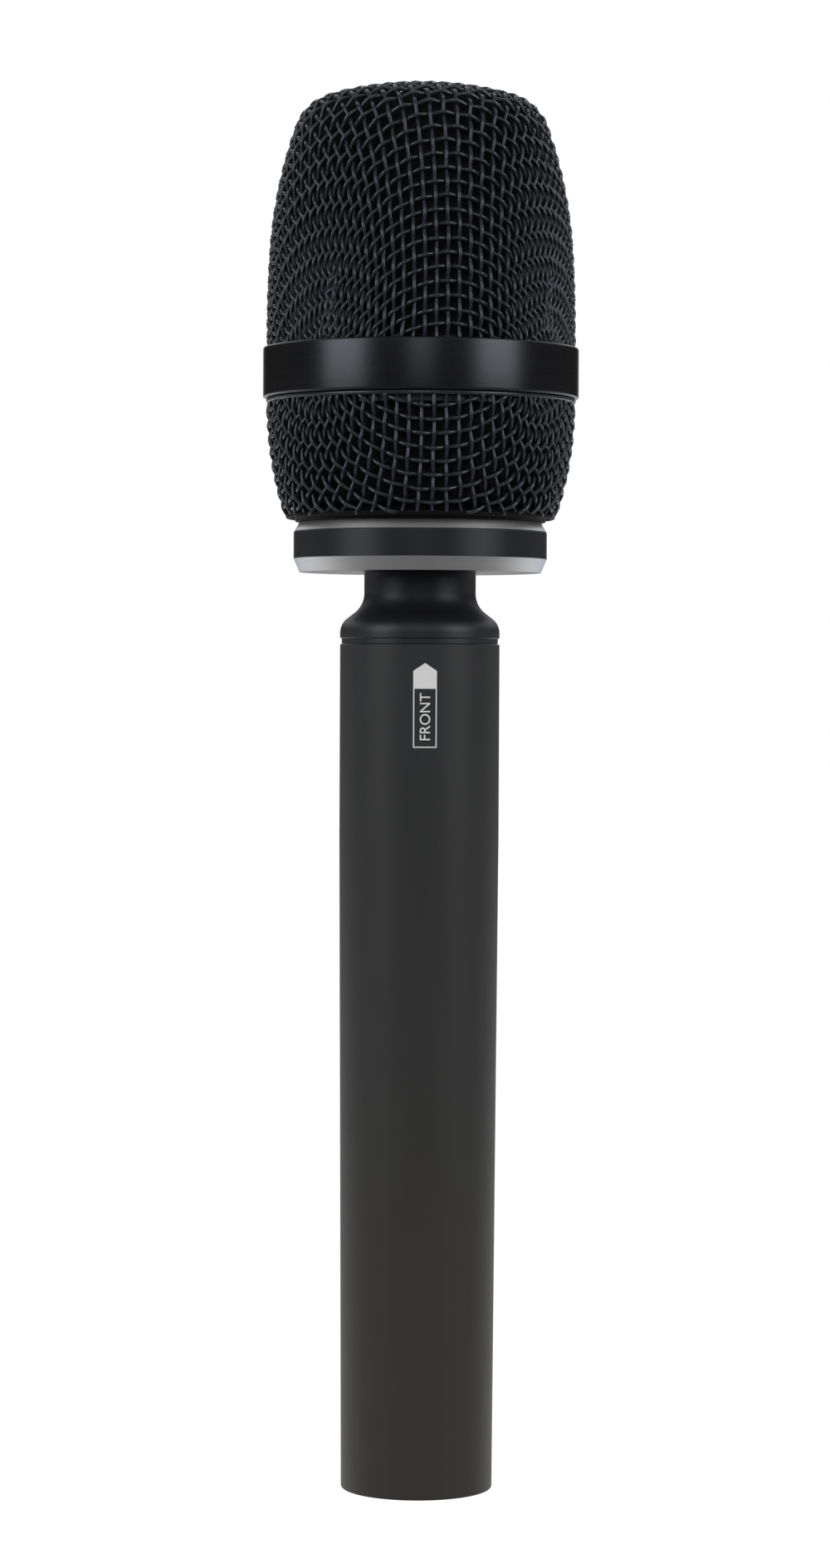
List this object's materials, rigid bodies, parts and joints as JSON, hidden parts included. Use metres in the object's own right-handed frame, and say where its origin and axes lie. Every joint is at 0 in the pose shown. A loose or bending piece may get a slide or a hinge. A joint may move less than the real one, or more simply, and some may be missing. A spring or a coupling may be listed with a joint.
{
  "type": "surround microphone",
  "caption": "Slim hand-held surround microphone: a plain grip tube, a necked collar and head plate, and a domed woven wire basket whose upper half unscrews from the capsules.",
  "frame": {"origin": "centre of the grip tube's lower end face", "axes": "+Z along the grip towards the head, -Y towards the front mark, +X to the microphone's left as it faces forward"},
  "size_m": [0.0486, 0.0486, 0.2167],
  "materials": {
    "grip_coat": "fine matte charcoal coating",
    "black_satin": "satin black anodised",
    "plate_coat": "matte black anodised with bare turned bevels",
    "foot_coat": "dull black",
    "black_matte": "matte black",
    "wire": "black painted woven wire",
    "foam": "open-cell black foam",
    "bare_metal": "turned aluminium",
    "steel": "plain steel",
    "rubber": "soft matte rubber",
    "capsule_metal": "nickel plated",
    "gold_film": "gold coated film",
    "brass": "gold plated brass",
    "lead": "red insulation",
    "board": "green laminate",
    "chip": "black moulded",
    "capacitor": "blue sleeve",
    "insulator": "dark grey moulded"
  },
  "bodies": {
    "handle": {"grip_tube": "grip_coat", "neck_collar": "black_matte", "head_plate": "plate_coat", "lower_grille": "wire", "basket_foot": "foot_coat", "foot_screws": "steel", "threaded_ring": "black_matte", "lower_foam": "foam", "capsule_post": "bare_metal", "post_isolator": "rubber", "capsule_frame": "bare_metal", "capsule_front_left": "capsule_metal", "capsule_front_right": "capsule_metal", "capsule_back_left": "capsule_metal", "capsule_back_right": "capsule_metal", "capsule_caps": "capsule_metal", "capsule_diaphragms": "gold_film", "capsule_backplates": "brass", "capsule_leads": "lead", "preamp_board": "board", "board_rails": "bare_metal", "upper_bulkhead": "bare_metal", "lower_bulkhead": "bare_metal", "buffer_transistors": "chip", "coupling_capacitors": "capacitor", "output_stages": "chip", "board_header": "chip", "connector_shell": "black_satin", "connector_insulator": "insulator", "contact_pins": "brass", "retaining_ring": "steel", "tail_board": "board"},
    "foam_lining": {"upper_foam": "foam"},
    "upper_basket": {"clamp_ring": "black_satin", "upper_grille": "wire"}
  },
  "joints": [
    {"name": "basket_lift", "type": "slide", "parent": "handle", "child": "foam_lining", "axis": [0, 0, 1], "range_m": [0, 0.005]},
    {"name": "basket_turn", "type": "hinge", "parent": "foam_lining", "child": "upper_basket", "pos_m": [0, 0, 0.17], "axis": [0, 0, 1], "range_deg": [0, 1800]}
  ],
  "couplings": [
    {"joint": "basket_turn", "follows": "basket_lift", "rad_per_m": 6283.2}
  ]
}
